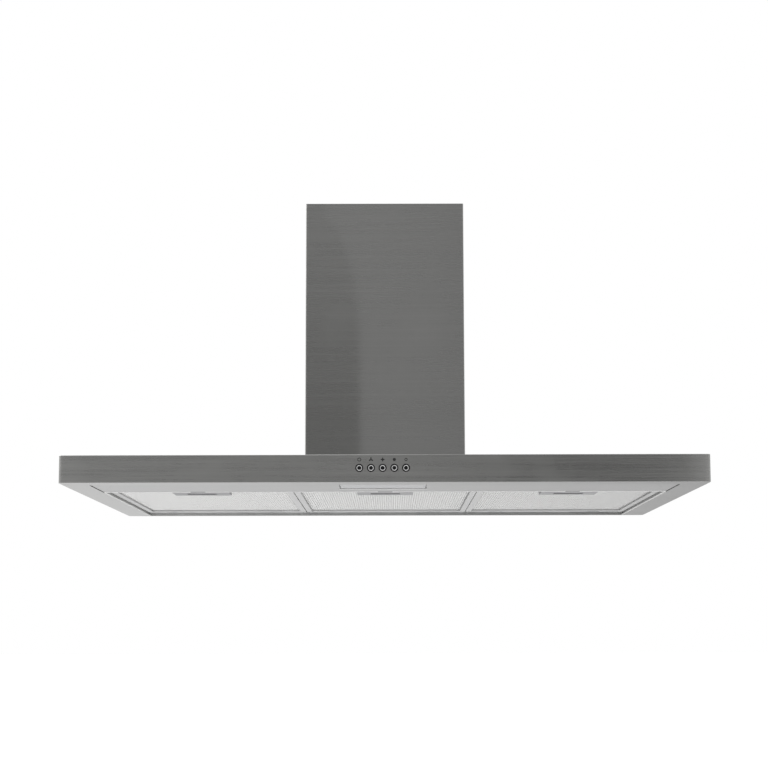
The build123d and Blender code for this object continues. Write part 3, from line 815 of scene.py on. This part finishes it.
# ------------------------------------------------------------------ floor, light, camera
FLOOR_Z = -1.2
fm = Mat("pale_floor", rough=0.9)
fn = fm.noise(fm.mapped((1, 1, 1)), 3.0, 5)
fm.set(fm.ramp(fn, [(0.3, (0.86, 0.86, 0.86)), (0.7, (0.88, 0.88, 0.88))]), None, fm.bump(fn, 0.05, 0.002))
fm.b.inputs["Emission Color"].default_value = (1, 1, 1, 1)
fm.b.inputs["Emission Strength"].default_value = 0.35
fv = [(-40, -3.2, FLOOR_Z), (40, -3.2, FLOOR_Z), (40, 90, FLOOR_Z), (-40, 90, FLOOR_Z)]
floor = bpy.data.objects.new("floor", mesh_of(fv, [(0, 1, 2, 3)]))
COL.objects.link(floor)
floor.data.materials.append(fm.m)

world = bpy.data.worlds.new("studio")
bpy.context.scene.world = world
world.use_nodes = True
wt = world.node_tree
wt.nodes.clear()


class W(Mat):
    def __init__(self):
        self.t = wt
        self.tc = wt.nodes.new("ShaderNodeTexCoord")


w = W()
sep = wt.nodes.new("ShaderNodeSeparateXYZ")
wt.links.new(w.tc.outputs["Generated"], sep.inputs[0])
dx, dy, dz = sep.outputs
az = w.math("MULTIPLY", w.math("ARCTAN2", dx, w.math("MULTIPLY", dy, -1.0)), 180 / math.pi)   # 0 towards -Y, + to the right
hor = w.math("SQRT", w.math("ADD", w.math("MULTIPLY", dx, dx), w.math("MULTIPLY", dy, dy)))
el = w.math("MULTIPLY", w.math("ARCTAN2", dz, hor), 180 / math.pi)


def wramp(v, a0, a1, stops, interp="LINEAR"):
    return w.ramp(w.span(v, a0, a1, 0.0, 1.0), [((p - a0) / (a1 - a0), c) for p, c in stops], interp)


# broad room: dim behind the camera, bright to the sides, behind and overhead
round_ = wramp(az, -180, 180, [(-180, 0.80), (-120, 0.90), (-60, 0.80), (-26, 0.60), (-14, 0.56), (-12, 0.47), (-9, 0.43), (-4, 0.42), (0, 0.39),
                               (3, 0.37), (4.5, 0.30), (5.5, 0.16), (7, 0.08), (8.5, 0.05), (10, 0.0), (11.0, 0.0), (11.8, 0.45), (13, 0.75), (20, 0.75), (30, 0.60), (60, 0.80), (120, 0.85), (180, 0.80)])
up = wramp(el, -90, 90, [(-90, 0.9), (-40, 0.5), (-25, 0.0), (30, 0.0), (45, 0.7), (60, 1.0), (90, 1.0)], "EASE")
room = w.mix(up, round_, (1.25, 1.25, 1.25))
# the screen the chimney mirrors: its left part is darker low down
edge_az = wramp(el, 0, 30, [(0, 0.5 + -1.10 / 20), (11.0, 0.5 + -1.10 / 20), (13.2, 0.5 + -1.35 / 20), (14.6, 0.5 + -1.9 / 20), (15.2, 0.5 - 2.4 / 20), (30, 0.5 - 3.0 / 20)], "B_SPLINE")
edge_deg = w.math("MULTIPLY", w.math("SUBTRACT", edge_az, 0.5), 20.0)
right_of = w.span(w.math("SUBTRACT", az, edge_deg), -0.10, 0.10, 0.0, 1.0)
left_tone = wramp(el, 0, 20, [(0, 0.12), (6.5, 0.12), (8.0, 0.09), (9.4, 0.14), (10.9, 0.22), (12.4, 0.33), (13.9, 0.37), (15.2, 0.46), (20, 0.5)])
right_tone = wramp(el, 0, 20, [(0, 0.66), (6.5, 0.66), (8.0, 0.59), (10.9, 0.56), (12.4, 0.57), (15.2, 0.61), (20, 0.62)])
screen = w.mix(right_of, left_tone, right_tone)
inside = w.math("MULTIPLY", w.math("MULTIPLY", w.span(az, -4.2, -3.6, 0.0, 1.0), w.span(az, 3.6, 4.2, 1.0, 0.0)),
                w.math("MULTIPLY", w.span(el, 4.6, 5.2, 0.0, 1.0), w.span(el, 17.0, 18.0, 1.0, 0.0)))
studio = w.mix(inside, room, screen)
lp = wt.nodes.new("ShaderNodeLightPath")
final = w.mix(lp.outputs["Is Camera Ray"], studio, (1.0, 1.0, 1.0))
bg = wt.nodes.new("ShaderNodeBackground")
wt.links.new(final, bg.inputs[0])
wo = wt.nodes.new("ShaderNodeOutputWorld")
wt.links.new(bg.outputs[0], wo.inputs[0])


def area(name, loc, target, size, power):
    l = bpy.data.lights.new(name, "AREA")
    l.shape = "RECTANGLE"
    l.size, l.size_y = size
    l.energy = power
    o = bpy.data.objects.new(name, l)
    COL.objects.link(o)
    o.location = loc
    o.rotation_euler = (Vector(target) - Vector(loc)).to_track_quat("-Z", "Y").to_euler()
    return o


area("soft_left", (-3.2, 0.6, 2.2), (0, 0, 0), (2.4, 2.4), 40)

cam_d = bpy.data.cameras.new("camera")
cam_d.sensor_width = 36.0
cam_d.lens = 74.05
cam_d.shift_x, cam_d.shift_y = -0.0085, 0.09
cam_d.clip_end = 500
cam = bpy.data.objects.new("camera", cam_d)
COL.objects.link(cam)
cam.matrix_world = (Matrix.Translation((0.0081, -2.4625, -0.2116)) @ Matrix.Rotation(math.radians(90 + 6.647), 4, "X")
                    @ Matrix.Rotation(math.radians(-0.129), 4, "Z"))
bpy.context.scene.camera = cam

bpy.context.view_layer.update()
